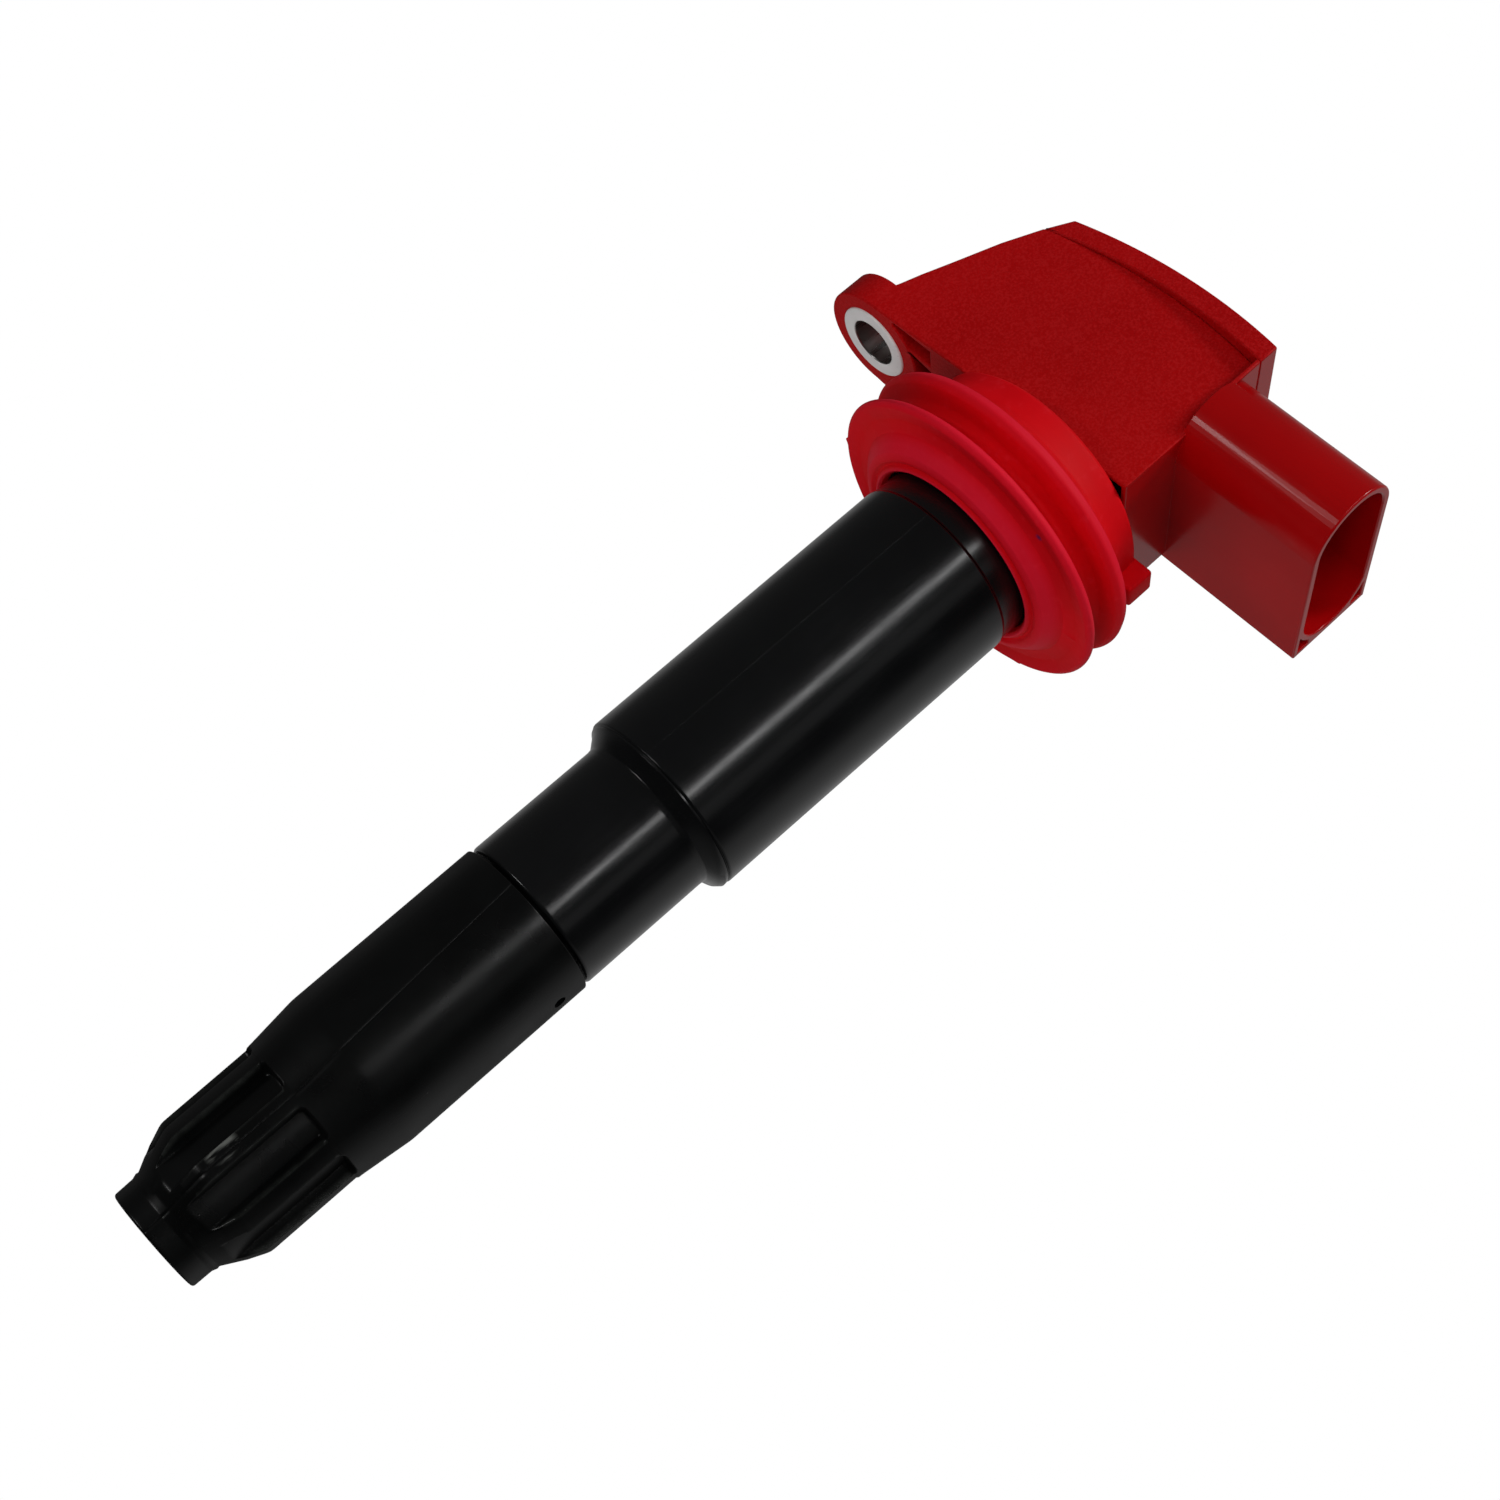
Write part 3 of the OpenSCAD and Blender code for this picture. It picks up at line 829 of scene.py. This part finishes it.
def tube_outline():
    """The tube's section as (radius, height): neck, tube, the step and the tower outside, then the bore."""
    step_foot = TUBE_END - 2.8
    return held(rounded([
        (NECK_TOP_R, NECK_TOP, 0), (NECK_TOP_R, -10.0, 0), (NECK_R, -13.0, 0), (NECK_R, -18.7, 0.25),
        (TUBE_R, SHOULDER_Z, 0.3), (TUBE_R, TUBE_END - 0.1, 0.3),
        (TUBE_R - 0.3, TUBE_END - 0.15, 0.04), (TUBE_R - 0.27, TUBE_END - 0.4, 0.1),
        (11.2, -64.2, 0), (10.7, -64.8, 0), (MID_R + 0.1, -65.5, 0.35), (MID_R, step_foot, 0.2),
        (MID_R, BOOT_TOP + 0.45, 0.5), (TOWER_R, BOOT_TOP + 0.45, 0), (TOWER_R, TOWER_END, 0.4),
        (ROD_BORE_R, TOWER_END, 0.3), (ROD_BORE_R, CASE_FLOOR, 0), (CASE_BORE_R, CASE_FLOOR, 0),
        (CASE_BORE_R, NECK_TOP, 0),
    ]))


def raise_seam(v, seam, fine):
    """Lifts the points of the tube's parting line a little."""
    on_seam = abs(math.atan2(v.co.y, v.co.x) - seam) < fine / 2
    if on_seam and TUBE_END < v.co.z < SHOULDER_Z and v.co.xy.length > TUBE_R - 0.3:
        v.co.xy *= 1 + SEAM_HEIGHT / TUBE_R


def fill_step(v):
    """The resin that fills the step stands fuller on one side."""
    top = TUBE_END - 0.3
    if -65.3 < v.co.z < top and v.co.xy.length > MID_R + 0.05:
        full = max(0, math.cos(math.atan2(v.co.y, v.co.x) - math.radians(FULL_SIDE))) ** 1.5
        along = min(1, (top - v.co.z) / 1.6)
        v.co.xy *= 1 + RESIN_BULGE * full * math.sin(math.pi * along) / v.co.xy.length


def make_tube():
    """The tube and tower, with a fine parting line on the upper tube."""
    seam = math.radians(PARTING_LINE)
    fine = math.radians(0.25)
    around = [angle for angle in even_angles(240) if abs(angle - TURN - seam) > 2 * fine]
    around += [seam + TURN - fine, seam + TURN, seam + TURN + fine]
    shape = lathe(tube_outline(), sorted(around))
    for v in shape.verts:
        raise_seam(v, seam, fine)
        fill_step(v)
    place_piece("coil_tube", shape, "coil", "black_case", ["coil_case"])


def make_flange():
    """The tube's flange, which closes the underside of the head round the neck."""
    shape = cad_mesh("coil_case")
    everything = shape.verts[:] + shape.edges[:] + shape.faces[:]
    cut = bmesh.ops.bisect_plane(shape, geom=everything, plane_co=(0, 0, NECK_TOP), plane_no=(0, 0, 1),
                                 clear_inner=True)
    rim = [edge for edge in cut["geom_cut"] if isinstance(edge, bmesh.types.BMEdge)]
    bmesh.ops.edgenet_fill(shape, edges=rim)
    place_piece("case_flange", shape, "coil", "black_case", ["coil_case"])


# ---------------------------------------------------------------- boot


def boot_outline():
    """The boot's outside from its rim down to its mouth, as (radius, height)."""
    return rounded([
        (BOOT_R - 0.25, BOOT_TOP, 0), (BOOT_R, BOOT_TOP, 0.12), (BOOT_R, -110.0, 8), (9.5, -116.6, 3),
        (9.45, -129.2, 2.2), (8.4, -131.6, 2), (6.95, -134.2, 1.4), (6.6, -135.2, 0.5),
        (6.55, BOOT_END, 0.35), (6.2, BOOT_END, 0),
    ], closed=False)


def row_step(height):
    """How far apart the boot's rows are at a height: close where the ribs and pockets begin and end."""
    if height < POCKET_FOOT:
        return FOOT_STEP
    if height < CORNER_END:
        return RIB_STEP
    if height < CORNER_TOP:
        return CORNER_STEP
    return BARREL_STEP


def straight_heights(bottom, top):
    """Heights down the long straight run below the ribs' tops, where the rows' distance changes."""
    corner = [CORNER_END + CORNER_STEP * k for k in range(1, 20)]
    ribs = [CORNER_END - RIB_STEP * k for k in range(12)]
    foot = [POCKET_FOOT - FOOT_STEP * k for k in range(1, 11)]
    return sorted([z for z in corner + ribs + foot if bottom < z < top], reverse=True)


def boot_rows():
    """The outline, with more points where the ribs and pockets begin and end."""
    outline = boot_outline()
    rows = []
    for first, second in zip(outline, outline[1:]):
        rows.append(first)
        long = first.y - second.y
        if long > 5 and first.y > CORNER_END > second.y:
            heights = straight_heights(second.y, first.y)
        else:
            cuts = max(1, math.ceil(long / row_step((first.y + second.y) / 2)))
            heights = [first.y - long * k / cuts for k in range(1, cuts)]
        rows += [first.lerp(second, (first.y - z) / long) for z in heights]
    rows.append(outline[-1])
    return rows


def boot_columns():
    """Angles round the boot in degrees, closest together at the ribs' walls."""
    steps = (-0.85, -0.4, -0.16, -0.06, 0.03, 0.12, 0.22, 0.36, 0.55, 0.8, 1.1, 1.6)
    reaches = [RIB_HALF + math.degrees(step / RIB_MID_R) for step in steps]
    columns = []
    for rib in range(RIBS):
        centre = FIRST_RIB + rib * RIB_PITCH
        columns += [centre - reach for reach in reversed(reaches)]
        columns += [centre - 0.22, centre, centre + 0.22]
        columns += [centre + reach for reach in reaches]
        columns.append(centre + RIB_PITCH / 2)
    return columns


def beside_rib(angle):
    """How far round the boot an angle is from the wall of the nearest rib, which is negative on the rib."""
    off = (angle - FIRST_RIB) % RIB_PITCH
    return math.radians(min(off, RIB_PITCH - off) - RIB_HALF) * RIB_MID_R


def from_seam(angle):
    """How many degrees an angle is from the nearer of the two moulding seams, which meet opposite ribs."""
    return (angle - FIRST_RIB + 90) % 180 - 90


def pocket_depth(angle, height):
    """How far into a pocket a place on the boot is: 0 on a rib or the barrel, 1 on the pocket's floor."""
    aside = beside_rib(angle)
    below = RIB_TOP - height
    inside = min(aside, below)
    if aside < POCKET_CORNER and below < POCKET_CORNER:
        inside = POCKET_CORNER - math.hypot(POCKET_CORNER - aside, POCKET_CORNER - below)
    t = min(1, max(0, (inside + WALL_LIP) / WALL_WIDTH))
    return t * t * (3 - 2 * t)


def boot_radius(row, angle):
    """The boot's radius at a row of its outline and an angle in degrees."""
    radius, height = row
    if abs(from_seam(angle)) < 0.1 and height < BOOT_TOP:
        radius -= SEAM_DEPTH
    if not RIB_END < height < RIB_TOP + 0.3:
        return radius
    seamed_rib = round((angle - FIRST_RIB) / RIB_PITCH) % (RIBS // 2) == 0
    start = RIB_TOP - 0.25
    if not seamed_rib and height < start:
        radius -= LOW_RIB * min(1, (start - height) / 0.12)
    return radius - pocket_depth(angle, height) * max(0, radius - POCKET_R)


def seam_shift(angle, height):
    """How many degrees the seam, and the mesh with it, leans round the barrel on its way up from a rib."""
    off = from_seam(angle)
    spread = 22
    if abs(off) > spread or height < SEAM_FOOT:
        return 0
    up = (height - SEAM_FOOT) / (BOOT_TOP - SEAM_FOOT)
    return -SEAM_LEAN * up * (0.5 + 0.5 * math.cos(math.pi * off / spread))


def boot_bore():
    """The boot's inside from its mouth up to its rim: bores for the plug, the spring and the tower."""
    return rounded([
        (5.95, BOOT_END, 0.2), (BOOT_BORE_R, BOOT_END + 1.4, 0), (BOOT_BORE_R, -113.1, 0),
        (SPRING_BORE_R, -112.9, 0), (SPRING_BORE_R, -99.8, 0), (TOWER_BORE_R, -99.8, 0),
        (TOWER_BORE_R, BOOT_TOP, 0.2),
    ], closed=False)


def make_boot():
    """The rubber boot with its ribs, pockets and seams. The ribs' edges are marked for wear and a painted
    edge highlight.
    """
    rows = boot_rows()
    inside = boot_bore()
    shape = bmesh.new()
    edge_wear_and_highlight = shape.verts.layers.float.new("edge_wear_and_highlight")
    rings = []
    for angle in boot_columns():
        # the ribs' edges get wear and a painted edge highlight
        on_edge = -0.2 < beside_rib(angle) < 0.0
        ring = []
        for row in rows:
            height = row[1]
            turn = math.radians(angle + seam_shift(angle, height))
            v = shape.verts.new(polar(turn, boot_radius(row, angle), height))
            if on_edge and -131 < height < RIB_TOP - 0.4:
                v[edge_wear_and_highlight] = 1.0
            ring.append(v)
        ring += [shape.verts.new(polar(math.radians(angle), radius, height)) for radius, height in inside]
        rings.append(ring)
    join_rings(shape, rings)
    boot = place_piece("boot", shape, "boot", "black_rubber", ["plug_boot"], crease=60)
    cut_vent(boot)


def cut_vent(boot):
    """The small air hole near the boot's rim."""
    shape = bmesh.new()
    around = Matrix.Rotation(math.radians(VENT_AZIMUTH), 4, "Z")
    outward = Matrix.Translation((9.2, 0, VENT_Z)) @ Matrix.Rotation(math.pi / 2, 4, "Y")
    bmesh.ops.create_cone(shape, cap_ends=True, segments=32, radius1=VENT_R, radius2=VENT_R, depth=5,
                          matrix=around @ outward)
    mesh = bpy.data.meshes.new("vent_cutter")
    shape.to_mesh(mesh)
    shape.free()
    mesh.transform(Matrix.Scale(MM, 4))
    cutter = bpy.data.objects.new("vent_cutter", mesh)
    bpy.context.scene.collection.objects.link(cutter)
    cut = boot.modifiers.new("vent", "BOOLEAN")
    cut.operation = "DIFFERENCE"
    cut.solver = "EXACT"
    cut.object = cutter
    graph = bpy.context.evaluated_depsgraph_get()
    done = bpy.data.meshes.new_from_object(boot.evaluated_get(graph))
    boot.modifiers.clear()
    boot.data = done
    bpy.data.objects.remove(cutter)


# ---------------------------------------------------------------- spring


def make_spring():
    """A round wire wound between the spring seat and the contact."""
    steps = SPRING_TURNS * 28
    sides = 10
    top = SPRING_TOP - WIRE_R
    long = SPRING_TOP - SPRING_END - 2 * WIRE_R
    shape = bmesh.new()
    rings = []
    for i in range(steps + 1):
        t = i / steps
        turn = -TURN * SPRING_TURNS * t
        height = top - long * t
        ring = []
        for k in range(sides):
            around = TURN * k / sides
            radius = SPRING_R + WIRE_R * math.cos(around)
            ring.append(shape.verts.new(polar(turn, radius, height + WIRE_R * math.sin(around))))
        rings.append(ring)
    join_rings(shape, rings, closed=False)
    shape.faces.new(rings[0])
    shape.faces.new(rings[-1][::-1])
    spring = place_piece("spring", shape, "coil", "spring_steel", ["contact_spring"])
    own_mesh(spring)


# ---------------------------------------------------------------- everything together


def paint_nodes():
    """Gives every CAD node the material of its slot."""
    own = {
        "secondary_winding": copper_winding("secondary_wire", 0.12),
        "outer_core": metal("sleeve_steel", (0.36, 0.36, 0.38), 0.4, (1, 1, 0.06), 1600),
    }
    for name, node in frame["nodes"].items():
        node.data.materials.clear()
        node.data.materials.append(own.get(name) or MATERIALS[SLOT[name]])


MATERIALS = make_materials()
GLOSS_RED = gloss_red()
make_stage()
paint_nodes()
make_shell("housing", "head_housing")
make_shell("cover", "head_cover")
make_pins()
make_bush()
make_seal()
make_tube()
make_flange()
make_boot()
make_spring()
